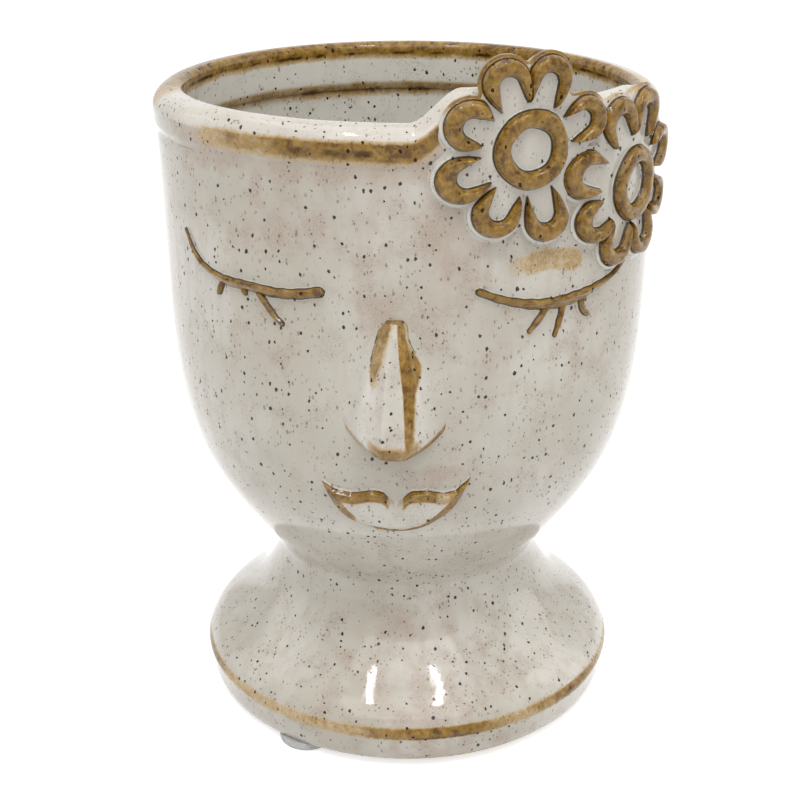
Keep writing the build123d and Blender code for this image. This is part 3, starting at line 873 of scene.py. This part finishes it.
def slab(name, front, back, tints):
    """Closed piece from a front grid and a back grid of the same size"""
    rows, columns = front.shape[:2]
    quads = grid_faces(rows, columns, False, False)
    size = rows * columns
    faces = quads + [[size + i for i in reversed(quad)] for quad in quads]
    grid = np.arange(size).reshape(rows, columns)
    border = np.concatenate([grid[0], grid[1:, -1], grid[-1, -2::-1], grid[-2:0:-1, 0]]).tolist()
    faces += [[a, b, size + b, size + a] for a, b in zip(border, border[1:] + border[:1])]
    both = {tint: np.tile(values.ravel(), 2) for tint, values in tints.items()}
    make_piece(name, np.concatenate([front, back]), faces, "speckled_glaze", both)


def nose_tints(u, v, s, ridge):
    """Where the nose's glaze is brown, dark, warm or pooled, at places across, down and as shares across"""
    shares, *columns = zip(*NOSE_PAINT)
    far_left, ridge_left, ridge_right, far_right = [soften(np.interp(v, shares, c), 16) for c in columns]
    left = window(u, far_left - 0.3, far_left + 0.3, ridge_left - 1.2, ridge_left + 0.3)
    brown = [
        1 - smooth(0.015, 0.04, v),
        0.8 * left * (1 - smooth(0.34, 0.6, v)),
        window(u, ridge_right - 0.2, ridge_right + 0.3, far_right - 0.9, far_right + 0.4),
        0.85 * smooth(0.81, 0.87, v) * (1 - smooth(3.6, 6.0, np.abs(u - 0.2))),
        0.9 * smooth(0.9, 0.94, v) * (0.6 + 0.4 * smooth(0, 6, u)),
    ]
    line = hill(u, far_left, 0.25) * (1 - smooth(0.3, 0.5, v))
    line = line + hill(u, ridge_right + 0.35, 0.35) * (0.45 + 0.15 * np.sin(v * 31))
    line = line + hill(u, far_right, 0.25) * (1 - smooth(0.2, 0.35, v)) + hill(v, 0.965, 0.012)
    tints = {
        "brown": np.maximum.reduce([amount + 0 * u for amount in brown]),
        "line": 0.6 * np.clip(line, 0, 1),
        "pool_and_painted_light": 0.6 * hill(np.abs(s), 0.5, 0.28) * smooth(0.1, 0.3, v) + 0.3 * (np.abs(u) < ridge),
        "blush_and_shade": 0.35 * smooth(0.2, 0.4, v) * (1 - smooth(0.3, 0.7, np.abs(s))),
    }
    return {tint: amount + 0 * u for tint, amount in tints.items()}


def make_nose():
    """Nose with a narrow flat ridge, soft flanks, round wings and a crisp lower edge"""
    v = np.linspace(0, 1, 120)[:, None]
    s = np.linspace(-1, 1, 101)[None, :]
    shares, *columns = zip(*NOSE_ROWS)
    half, reach, soft = [np.interp(v, shares, column) for column in columns]
    bottom = NOSE_BOTTOM + NOSE_WING_RISE * np.abs(s) ** 2.3
    z = NOSE_TOP + (bottom - NOSE_TOP) * v
    u = s * soften(half, 3)
    ridge = NOSE_RIDGE_HALF * (0.8 + 0.7 * v)
    down = np.clip((np.abs(u) - ridge) / np.maximum(half - ridge, 0.5), 0, 1)
    flank = (1 - NOSE_SLOPE * NOSE_FACET) * ((1 - down) / (1 - NOSE_FACET)) ** soft
    facet = np.where(down < NOSE_FACET, 1 - NOSE_SLOPE * down, flank)
    under = arch(np.clip(v - NOSE_TIP, 0, 1) / (1 - NOSE_TIP), 2.4)
    height = soften(soften(reach * facet * under, 3).T, 3).T
    border = np.minimum(np.minimum(1 - np.abs(s), 3 * v), 6 * (1 - v))
    height = np.maximum(height - NOSE_TUCK * (1 - smooth(0, 0.03, border)), -NOSE_TUCK)
    bare = on_head(0.0, u, z)
    slab("nose", skin(bare, height), skin(bare, -NOSE_DEPTH), nose_tints(u, v, s, ridge))


def make_mouth():
    """Full lips in relief: two brown wings above a pale crescent with a thin brown lower edge"""
    x = -np.cos(np.linspace(0, pi, 150)) * MOUTH_HALF + MOUTH_MIDDLE
    low = soften(spline(*zip(*MOUTH_LOWER), x), 2)
    high = np.maximum(soften(np.interp(x, *zip(*MOUTH_UPPER)), 5), low + 0.05)
    tall = high - low
    v = np.linspace(-0.5, 1.5, 64)[:, None]
    inside = np.clip(v, 0, 1)
    z = low + tall * (0.5 - 0.5 * np.cos(pi * inside)) + MOUTH_SKIRT * (v - inside)
    from_low, from_high = z - low, high - z
    past = np.maximum(-np.minimum(from_low, from_high), 1.2 * (np.abs(x - MOUTH_MIDDLE) - MOUTH_END))
    edge = 0.5 * (1 + np.cos(pi * np.clip((past + 0.7) / 1.05, 0, 1)))
    wing = hill(from_high, 0.9, 0.8) * window(np.abs(x), 0.8, 2.5, 12.5, 14.5)
    bulge = np.clip(4 * from_low * from_high / np.maximum(tall, 1) ** 2, 0, 1) * smooth(1.5, 8, tall)
    height = edge * (0.85 + 0.35 * wing + 0.65 * bulge) - 0.12 * smooth(0.35, 0.45, past)
    bare = on_head(0.0, x + 0 * z, z)
    top_band = (1 - smooth(1.9, 2.7, from_high)) * smooth(1.0, 1.8, np.abs(x - 0.2))
    top_band = top_band * (1 - 0.4 * smooth(7.5, 9, x))
    corner = np.maximum(smooth(9.6, 11.4, -x), smooth(9.8, 11.4, x)) + 0 * z
    thick = 1.3 + 1.7 * smooth(3, 12, x) + 2.0 * smooth(-5, -11, x)
    low_band = 1 - smooth(thick - 0.25, thick + 0.2, from_low)
    low_band = low_band * np.maximum(smooth(-6, -3.5, x), 1 - smooth(-8.6, -7.4, x))
    within = 1 - smooth(-0.1, 0.12, past)
    tints = {
        "brown": within * np.maximum.reduce([top_band, 0.85 * corner, 0.9 * low_band]),
        "line": np.maximum(
            0.6 * hill(past, -0.06, 0.16) * np.maximum(smooth(1.0, 2.0, np.abs(x)), 0.4),
            0.8 * hill(from_low, thick, 0.22) * low_band ** 0.2,
        ),
        "pool_and_painted_light": 0.6 * np.maximum(smooth(0.1, 0.3, past), bulge),
        "blush_and_shade": 0.5 * hill(from_high, 2.4, 0.9),
    }
    slab("mouth", skin(bare, height), skin(bare, -MOUTH_DEPTH), tints)


def make_eyes():
    """Both eye lines and their lashes"""
    stroke("left_eye_line", -EYE_ANGLE, LEFT_LINE, *LEFT_EYE, EYE_RISE, 110)
    stroke("right_eye_line", EYE_ANGLE, RIGHT_LINE, *RIGHT_EYE, EYE_RISE, 110)
    for side, angle, lashes in (("left", -EYE_ANGLE, LEFT_LASHES), ("right", EYE_ANGLE, RIGHT_LASHES)):
        for number, marks in enumerate(lashes, 1):
            shape = BLUNT_LASH if side == "left" and number == 3 else LASH
            stroke(side + "_lash_" + str(number), angle, marks, *shape, LASH_RISE, 34)


def lathe(name, outline, slot, place=(0, 0), columns=64, body="planter"):
    """Turned piece from an outline of radius and height that starts and ends near the axis"""
    turn = np.linspace(0, 2 * pi, columns + 1)[:-1]
    radius, z = [np.array(column)[:, None] for column in zip(*outline)]
    x, y = place[0] + radius * np.cos(turn), place[1] + radius * np.sin(turn)
    points = np.stack([x, y, z + 0 * turn], -1)
    return make_piece(name, points, capped_faces(len(outline), columns), slot, None, body)


def make_pads():
    """Three soft stick-on pads under the foot ring, with domed undersides cut flat"""
    for name in ("foot_pad_1", "foot_pad_2", "foot_pad_3"):
        low, high = box_mm(name)
        radius, top = (high[0] - low[0]) / 2, high[2]
        outline = [(AXIS_RADIUS, 0.0), (radius * 0.5, 0.0), (radius - PAD_ROUND, 0.0)]
        outline += [(radius - PAD_ROUND * (1 - s), PAD_ROUND * (1 - c)) for s, c in rounding(0, 6, 0.2)]
        outline += [(radius, top - 0.25), (radius - 0.2, top), (AXIS_RADIUS, top)]
        lathe(name, outline, "clear_pad", (low[:2] + high[:2]) / 2)


def tab_mesh(top, foot):
    """Pull tab with a hole, from its foot in the plug to its round top"""
    turn = np.linspace(0, 2 * pi, TAB_COLUMNS + 1)[:-1]
    circle = np.stack([np.cos(turn), np.sin(turn)], -1)
    middle = np.array([0, top - TAB_HALF])
    hole, outer = TAB_HOLE * circle + middle, TAB_HALF * circle + middle
    lower = circle[:, 1] < 0
    across, down = circle[lower].T
    outer[lower, 0] = TAB_HALF * np.sign(across) * np.abs(across) ** 0.35
    outer[lower, 1] = middle[1] + (foot - middle[1]) * np.abs(down) ** 0.6
    rows = []
    for share, depth in TAB_ROWS:
        x, z = (hole * (1 - share) + outer * share).T
        rows.append(np.stack([x, np.full(TAB_COLUMNS, TAB_HALF_THICK * depth), z], -1))
    sections = np.array(rows + [row * np.array([1, -1, 1]) for row in reversed(rows)])
    mesh = bpy.data.meshes.new("drain_plug_tab")
    faces = grid_faces(len(sections), TAB_COLUMNS, True, True)
    mesh.from_pydata((sections.reshape(-1, 3) * MM).tolist(), [], faces)
    return mesh


def make_plug():
    """Soft plug: tapered stem, flange and a pull tab with a hole"""
    low, high = box_mm("drain_plug")
    bottom, seat, top = low[2], FLOOR_TOP + 0.3, FLOOR_TOP + 2.1
    flange = high[0] - 0.05
    outline = [(AXIS_RADIUS, bottom), (4.4, bottom), (4.95, bottom + 0.25), (5.1, bottom + 0.8)]
    outline += [(5.65, seat - 0.5), (5.9, seat), (flange - 0.3, seat), (flange, seat + 0.3)]
    outline += [(flange, top - PLUG_ROUND)]
    outline += [(flange - PLUG_ROUND * (1 - c), top - PLUG_ROUND * (1 - s)) for s, c in rounding(0, 5, 0.3)]
    outline += [(flange * 0.6, top + 0.05), (3.0, top + 0.1), (AXIS_RADIUS, top + 0.1)]
    plug = lathe("drain_plug", outline, "grey_silicone", columns=72, body="plug")
    tab = tab_mesh(high[2], top - 0.4)
    finish_mesh(plug.data, tab)
    bpy.data.meshes.remove(tab)


class Nodes:
    """Short way to write the nodes of a material or world"""

    def __init__(self, owner, main="Principled BSDF"):
        owner.use_nodes = True
        self.owner = owner
        self.tree = owner.node_tree
        self.main = self.tree.nodes[main]

    def add(self, kind, **settings):
        made = self.tree.nodes.new(kind)
        for key, value in settings.items():
            setattr(made, key, value)
        return made

    def feed(self, node, inputs):
        """Links each input to a socket, or sets it to a plain value"""
        for key, value in inputs.items():
            if isinstance(value, bpy.types.NodeSocket):
                self.tree.links.new(value, node.inputs[key])
            else:
                node.inputs[key].default_value = value

    def maths(self, operation, *values):
        made = self.add("ShaderNodeMath", operation=operation)
        self.feed(made, dict(enumerate(values)))
        return made.outputs[0]

    def times(self, first, second):
        return self.maths("MULTIPLY", first, second)

    def times_plus(self, first, second, third):
        return self.maths("MULTIPLY_ADD", first, second, third)

    def seen_by_lens(self):
        """1 for what the camera, a mirror or glass looks at, 0 for light that falls on things"""
        rays = self.add("ShaderNodeLightPath").outputs
        seen = self.maths("MAXIMUM", rays["Is Camera Ray"], rays["Is Glossy Ray"])
        return self.maths("MAXIMUM", seen, rays["Is Transmission Ray"])

    def finish(self, inputs):
        self.feed(self.main, inputs)
        return self.owner


class Surface(Nodes):
    """Material whose look varies over the object, in millimetres"""

    def __init__(self, name):
        super().__init__(bpy.data.materials.new(name))
        place = self.add("ShaderNodeTexCoord").outputs["Object"]
        self.place = self.vector("SCALE", {0: place, "Scale": 1 / MM})

    def vector(self, operation, inputs):
        made = self.add("ShaderNodeVectorMath", operation=operation)
        self.feed(made, inputs)
        return made.outputs[0]

    def squeezed(self, place, tall):
        """The place with its height scaled, which stretches what is drawn by it"""
        return self.vector("MULTIPLY", {0: place, 1: (1.0, 1.0, tall)})

    def ragged(self, value, noise, much):
        """The value with noise about its middle added to it"""
        return self.times_plus(self.maths("SUBTRACT", noise, 0.5), much, value)

    def tint(self, name):
        return self.add("ShaderNodeAttribute", attribute_name=name).outputs["Fac"]

    def noise(self, scale, detail=2.0, rough=0.5, place=None, output="Fac"):
        made = self.add("ShaderNodeTexNoise")
        place = place or self.place
        self.feed(made, {"Vector": place, "Scale": scale, "Detail": detail, "Roughness": rough})
        return made.outputs[output]

    def step(self, value, low, high, out_low=0.0, out_high=1.0):
        """Smooth step of a value"""
        made = self.add("ShaderNodeMapRange", interpolation_type="SMOOTHSTEP")
        ends = {"From Min": low, "From Max": high, "To Min": out_low, "To Max": out_high}
        self.feed(made, {"Value": value, **ends})
        return made.outputs[0]

    def mix(self, amount, first, second):
        made = self.add("ShaderNodeMix", data_type="RGBA")
        self.feed(made, {0: amount, 6: first, 7: second})
        return made.outputs[2]

    def specks(self, place, scale, large, soft, rare):
        """Scattered round specks of many sizes, as an amount"""
        made = self.add("ShaderNodeTexVoronoi")
        self.feed(made, {"Vector": place, "Scale": scale})
        split = self.add("ShaderNodeSeparateColor")
        self.feed(split, {0: made.outputs["Color"]})
        size = self.times(self.maths("POWER", split.outputs[0], rare), large * scale)
        return self.step(self.maths("SUBTRACT", size, made.outputs["Distance"]), 0.0, soft * scale)

    def bump(self, height, strength, distance):
        made = self.add("ShaderNodeBump")
        self.feed(made, {"Height": height, "Strength": strength, "Distance": distance})
        return made.outputs[0]


def colour(red, green, blue):
    """Linear colour from one written as 0 to 255"""
    def linear(value):
        value = value / 255
        return value / 12.92 if value <= 0.04045 else ((value + 0.055) / 1.055) ** 2.4
    return (linear(red), linear(green), linear(blue), 1.0)


CREAM_DULL = colour(180, 174, 161)
CREAM = colour(197, 192, 182)
CREAM_STREAK = colour(182, 172, 158)
CREAM_WARM_AND_SHADE = colour(165, 142, 124)
CREAM_POOL_AND_LIGHT = colour(212, 209, 200)
DUST = colour(120, 100, 78)
BROWN_DARK = colour(92, 60, 12)
BROWN = colour(132, 99, 32)
BROWN_LIGHT = colour(156, 122, 60)
THIN_LIGHT = colour(190, 168, 132)
THIN_DARK = colour(172, 146, 104)
EDGE_DARK_AND_SHADE = colour(44, 26, 4)
FAINT_SPECK = colour(88, 74, 50)
BOLD_SPECK = colour(26, 17, 8)
PAD_DARK = colour(158, 158, 156)
PAD_LIGHT = colour(184, 184, 182)
PLUG_DARK = colour(150, 152, 150)
PLUG_LIGHT = colour(172, 173, 170)


def glaze_material():
    """Speckled cream glaze that breaks to brown where the clay stands out and pools white beside it, with
    painted shade in the groove over the mouth and on the pedestal's front, and painted light on the bowl's
    inner wall
    """
    s = Surface("speckled_glaze")
    large = s.noise(0.035, 3.0, 0.55)
    medium = s.noise(0.16, 4.0, 0.6)
    fine = s.noise(0.9, 3.0, 0.6)
    tiny = s.noise(3.2, 2.0, 0.6)
    streak = s.noise(0.32, 3.0, 0.55, s.squeezed(s.place, 0.14))
    cream = s.mix(s.step(large, 0.35, 0.65), CREAM_DULL, CREAM)
    cream = s.mix(s.step(streak, 0.42, 0.68, 0.0, 0.6), cream, CREAM_STREAK)
    # Warm glaze, and painted shade on the front of the pedestal, tint the cream warmer and darker
    blush_and_shade = s.times_plus(medium, 1.1, s.times(s.tint("blush_and_shade"), 0.42))
    cream = s.mix(s.step(blush_and_shade, 0.56, 1.02, 0.0, 0.5), cream, CREAM_WARM_AND_SHADE)
    # Pale cream where the glaze pooled, and painted light on the bowl's collar and inner wall
    cream = s.mix(s.step(s.tint("pool_and_painted_light"), 0.0, 1.0, 0.0, 0.8), cream, CREAM_POOL_AND_LIGHT)
    dusty = s.times(s.step(medium, 0.46, 0.62), s.step(tiny, 0.5, 0.62))
    cream = s.mix(s.times(dusty, 0.3), cream, DUST)
    ragged = s.ragged(s.ragged(s.tint("brown"), fine, 0.7), medium, 0.6)
    bare = s.times(s.step(ragged, 0.2, 0.6), s.step(s.tint("brown"), 0.05, 0.3))
    cloud = s.times_plus(s.noise(0.42, 3.0, 0.6), 0.55, s.times(fine, 0.45))
    brown = s.mix(s.step(cloud, 0.4, 0.5), BROWN_DARK, BROWN)
    brown = s.mix(s.step(cloud, 0.5, 0.62), brown, BROWN_LIGHT)
    thin = s.mix(s.step(tiny, 0.4, 0.7), THIN_LIGHT, THIN_DARK)
    brown = s.mix(s.step(ragged, 0.5, 0.95), thin, brown)
    glaze = s.mix(bare, cream, brown)
    # Dark glaze edges, and painted shade along the groove over the mouth, from the line amount
    edge = s.step(s.ragged(s.tint("line"), fine, 0.6), 0.3, 0.7)
    edge = s.times(edge, s.step(s.tint("line"), 0.05, 0.3))
    glaze = s.mix(s.times(edge, 0.92), glaze, EDGE_DARK_AND_SHADE)
    shaken = s.vector("SCALE", {0: s.noise(1.6, output="Color"), "Scale": 0.6})
    moved = s.vector("ADD", {0: s.place, 1: shaken})
    bold = s.specks(s.squeezed(moved, 0.8), 0.7, 0.42, 0.06, 1.8)
    faint = s.specks(s.squeezed(moved, 0.55), 1.4, 0.32, 0.08, 1.9)
    faint = s.times(faint, s.step(medium, 0.38, 0.56, 0.3, 1.0))
    glaze = s.mix(s.times(faint, 0.65), glaze, FAINT_SPECK)
    glaze = s.mix(s.times(bold, 0.95), glaze, BOLD_SPECK)
    gloss = s.times_plus(bare, -0.2, 0.5)
    relief_height = s.times_plus(bold, -0.25, s.times_plus(medium, 1.0, s.times(fine, 0.18)))
    return s.finish({
        "Base Color": glaze,
        "Roughness": s.times_plus(bare, 0.02, s.times_plus(fine, 0.07, 0.05)),
        "Coat Weight": 0.15,
        "Coat Roughness": 0.06,
        "IOR": 1.48,
        "Specular IOR Level": s.times_plus(s.maths("MAXIMUM", bold, edge), -0.25, gloss),
        "Normal": s.bump(relief_height, 0.5, 0.00012),
    })


def pad_material():
    """Milky clear soft plastic"""
    s = Surface("clear_pad")
    cloudy = s.noise(0.5, 3.0)
    return s.finish({
        "Base Color": s.mix(s.step(cloudy, 0.3, 0.7), PAD_DARK, PAD_LIGHT),
        "Roughness": s.times_plus(cloudy, 0.12, 0.16),
        "Transmission Weight": 0.2,
        "IOR": 1.48,
    })


def plug_material():
    """Soft grey silicone with a faint bloom"""
    s = Surface("grey_silicone")
    cloudy = s.noise(0.35, 4.0)
    grain = s.noise(6.0, 2.0)
    return s.finish({
        "Base Color": s.mix(s.step(cloudy, 0.3, 0.7), PLUG_DARK, PLUG_LIGHT),
        "Roughness": s.times_plus(grain, 0.2, 0.42),
        "Normal": s.bump(grain, 0.3, 0.00003),
    })


# Camera, as fitted to the photograph
CAMERA_YAW = 2.9
CAMERA_PITCH = 23.22
CAMERA_DISTANCE = 323.0
CAMERA_HEIGHT = 208.0
FOCAL_PIXELS = 1489.0
FRAME_PIXELS = 800.0
AXIS_PIXEL = 407.0
SENSOR_WIDTH = 36.0

# Lamps in metres and watts: place, the point each one faces, size and power. The strips, short and high in
# front, give the foot its two highlights
LAMPS = (
    ("overhead", (0.0, 0.1, 1.2), (0, 0, 0.08), (1.2, 1.0), 4.0),
    ("front_top", (0.05, -0.75, 0.95), (0, 0, 0.08), (1.3, 0.8), 6.0),
    ("left_side", (-0.9, 0.1, 0.4), (0, 0, 0.08), (0.5, 0.8), 1.0),
    ("right_side", (0.9, 0.2, 0.4), (0, 0, 0.08), (0.5, 0.8), 1.7),
    ("left_strip", (-0.222, -0.335, 0.85), (-0.222, 0, 0.03), (0.044, 0.25), 0.95),
    ("right_strip", (0.222, -0.335, 0.85), (0.222, 0, 0.03), (0.044, 0.25), 0.95),
)
WORLD_STRENGTH = 0.45

# Floor: half width in metres, grey, and the glow that lifts it to white for the camera
FLOOR_HALF = 3.0
FLOOR_GREY = (0.78, 0.78, 0.78, 1)
FLOOR_GLOW = 0.62
WHITE = (1, 1, 1, 1)


def put(name, data, place, ahead):
    """Camera or lamp at a place in the scene, facing along a direction"""
    made = bpy.data.objects.new(name, data)
    made.location = place
    made.rotation_mode = "QUATERNION"
    made.rotation_quaternion = ahead.to_track_quat("-Z", "Y")
    bpy.context.scene.collection.objects.link(made)
    return made


def make_camera():
    """Camera at the photograph's place and angle"""
    yaw, pitch = radians(CAMERA_YAW), radians(CAMERA_PITCH)
    data = bpy.data.cameras.new("camera")
    data.sensor_width = SENSOR_WIDTH
    data.lens = SENSOR_WIDTH * FOCAL_PIXELS / FRAME_PIXELS
    data.shift_x = (FRAME_PIXELS / 2 - AXIS_PIXEL) / FRAME_PIXELS
    data.clip_start = 0.01
    place = Vector((CAMERA_DISTANCE * sin(yaw), -CAMERA_DISTANCE * cos(yaw), CAMERA_HEIGHT))
    ahead = Vector((-sin(yaw) * cos(pitch), cos(yaw) * cos(pitch), -sin(pitch)))
    bpy.context.scene.camera = put("camera", data, place * MM, ahead)


def make_lights():
    """Soft rectangular lamps: one overhead, one above the camera, one each side, and two short strips"""
    for name, place, target, size, power in LAMPS:
        data = bpy.data.lights.new(name, "AREA")
        data.shape = "RECTANGLE"
        data.size, data.size_y = size
        data.energy = power
        put(name, data, place, Vector(target) - Vector(place))


def make_world():
    """Plain white surroundings, brighter to look at than they light"""
    s = Nodes(bpy.data.worlds.new("surroundings"), "Background")
    strength = s.times_plus(s.seen_by_lens(), 1 - WORLD_STRENGTH, WORLD_STRENGTH)
    bpy.context.scene.world = s.finish({"Color": WHITE, "Strength": strength})


def make_floor():
    """Plain white floor that keeps the planter's shadow"""
    corners = [(x * FLOOR_HALF, y * FLOOR_HALF, 0) for x, y in ((-1, -1), (1, -1), (1, 1), (-1, 1))]
    mesh = bpy.data.meshes.new("floor")
    mesh.from_pydata(corners, [], [(0, 1, 2, 3)])
    floor = bpy.data.objects.new("floor", mesh)
    bpy.context.scene.collection.objects.link(floor)
    s = Nodes(bpy.data.materials.new("floor"))
    mesh.materials.append(s.finish({
        "Base Color": FLOOR_GREY,
        "Roughness": 0.9,
        "Specular IOR Level": 0.0,
        "Emission Color": WHITE,
        "Emission Strength": s.times(s.seen_by_lens(), FLOOR_GLOW),
    }))


GLAZE = glaze_material()
MATERIALS = {
    "speckled_glaze": GLAZE,
    "brown_glaze": GLAZE,
    "clear_pad": pad_material(),
    "grey_silicone": plug_material(),
}
make_bowl()
make_pedestal()
make_nose()
make_mouth()
make_eyes()
make_daisy("front_daisy", FRONT_DAISY, FRONT_PETALS, FRONT_RING, FRONT_LIFT, 100)
make_daisy("side_daisy", SIDE_DAISY, SIDE_PETALS, SIDE_RING, SIDE_LIFT, 200)
make_plug()
make_pads()
make_floor()
make_world()
make_lights()
make_camera()
bpy.context.scene.view_settings.view_transform = "Standard"
